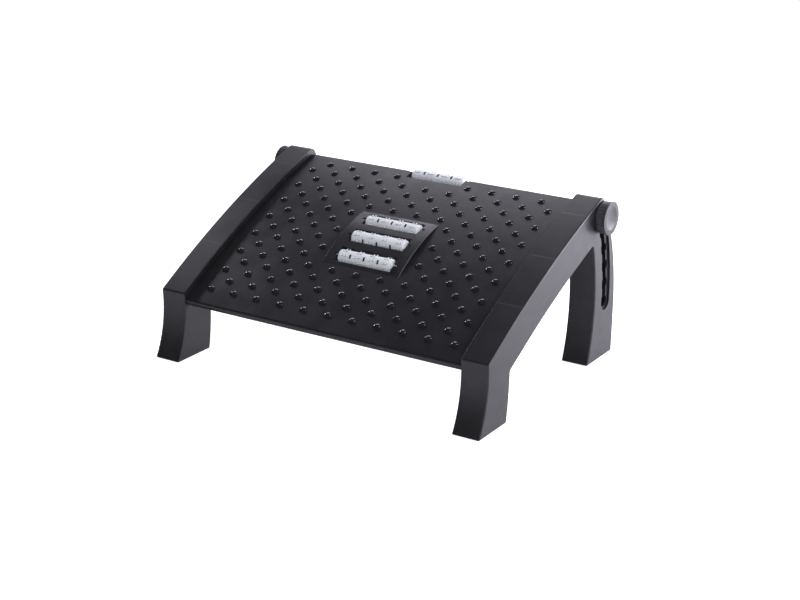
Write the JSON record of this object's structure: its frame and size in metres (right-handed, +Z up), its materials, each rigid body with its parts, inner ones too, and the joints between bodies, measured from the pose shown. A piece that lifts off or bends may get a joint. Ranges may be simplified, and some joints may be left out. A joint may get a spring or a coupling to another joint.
{
  "type": "tilting under desk footrest",
  "caption": "Free-standing under-desk footrest: a curved, nubbed platform with foot rollers tilts between arched side frames and is clamped by side knobs.",
  "frame": {"origin": "on the floor, at the middle of the footrest's width and depth", "axes": "+X to the right across the footrest as the picture shows it, +Y from the user's side to the back, +Z up"},
  "size_m": [0.4752, 0.3313, 0.2071],
  "materials": {
    "frame_plastic": "fine moulded grain, dark grey",
    "cover_plastic": "fine moulded grain, near black",
    "platform_plastic": "fine moulded grain, near black",
    "panel_plastic": "satin moulded, near black",
    "roller_plastic": "satin moulded, light cool grey",
    "grip_plastic": "satin moulded, black",
    "cap_plastic": "semi-gloss moulded, mid grey",
    "pad_rubber": "plain black rubber",
    "bush_plastic": "natural acetal",
    "bright_steel": "bright zinc plated",
    "screw_steel": "black zinc plated",
    "insert_brass": "plain turned"
  },
  "bodies": {
    "root": {"right_outer_shell": "frame_plastic", "left_outer_shell": "frame_plastic", "right_inner_cover": "cover_plastic", "left_inner_cover": "cover_plastic", "right_cover_screws": "screw_steel", "left_cover_screws": "screw_steel", "right_front_foot_pad": "pad_rubber", "left_front_foot_pad": "pad_rubber", "right_rear_foot_pad": "pad_rubber", "left_rear_foot_pad": "pad_rubber", "right_pivot_pin": "bright_steel", "left_pivot_pin": "bright_steel"},
    "platform": {"platform": "platform_plastic", "roller_panel": "panel_plastic", "panel_screws": "screw_steel", "right_pivot_bush": "bush_plastic", "left_pivot_bush": "bush_plastic", "right_threaded_insert": "insert_brass", "left_threaded_insert": "insert_brass"},
    "front_roller": {"front_roller": "roller_plastic"},
    "middle_roller": {"middle_roller": "roller_plastic"},
    "back_roller": {"back_roller": "roller_plastic"},
    "edge_roller": {"edge_roller": "roller_plastic"},
    "right_washer": {"right_clamp_washer": "bright_steel"},
    "right_knob": {"right_knob_grip": "grip_plastic", "right_knob_cap": "cap_plastic", "right_knob_stud": "bright_steel"},
    "left_washer": {"left_clamp_washer": "bright_steel"},
    "left_knob": {"left_knob_grip": "grip_plastic", "left_knob_cap": "cap_plastic", "left_knob_stud": "bright_steel"}
  },
  "joints": [
    {"name": "platform_tilt", "type": "hinge", "parent": "root", "child": "platform", "pos_m": [0, -0.12845, 0.0772], "axis": [-1, 0, 0], "range_deg": [0, 24.5]},
    {"name": "front_roller_spin", "type": "hinge", "parent": "platform", "child": "front_roller", "pos_m": [0, -0.04377, 0.13119], "axis": [1, 0, 0], "continuous": true},
    {"name": "middle_roller_spin", "type": "hinge", "parent": "platform", "child": "middle_roller", "pos_m": [0, -0.01524, 0.14721], "axis": [1, 0, 0], "continuous": true},
    {"name": "back_roller_spin", "type": "hinge", "parent": "platform", "child": "back_roller", "pos_m": [0, 0.01548, 0.15844], "axis": [1, 0, 0], "continuous": true},
    {"name": "edge_roller_spin", "type": "hinge", "parent": "platform", "child": "edge_roller", "pos_m": [0, 0.12117, 0.19308], "axis": [1, 0, 0], "continuous": true},
    {"name": "right_knob_travel", "type": "slide", "parent": "platform", "child": "right_washer", "axis": [1, 0, 0], "range_m": [0, 0.00125]},
    {"name": "right_knob_turn", "type": "hinge", "parent": "right_washer", "child": "right_knob", "pos_m": [0, 0.11741, 0.1841], "axis": [1, 0, 0], "range_deg": [0, 361]},
    {"name": "left_knob_travel", "type": "slide", "parent": "platform", "child": "left_washer", "axis": [-1, 0, 0], "range_m": [0, 0.00125]},
    {"name": "left_knob_turn", "type": "hinge", "parent": "left_washer", "child": "left_knob", "pos_m": [0, 0.11741, 0.1841], "axis": [-1, 0, 0], "range_deg": [0, 361]}
  ],
  "couplings": [
    {"joint": "right_knob_turn", "follows": "right_knob_travel", "rad_per_m": 5026.5},
    {"joint": "left_knob_turn", "follows": "left_knob_travel", "rad_per_m": 5026.5}
  ]
}
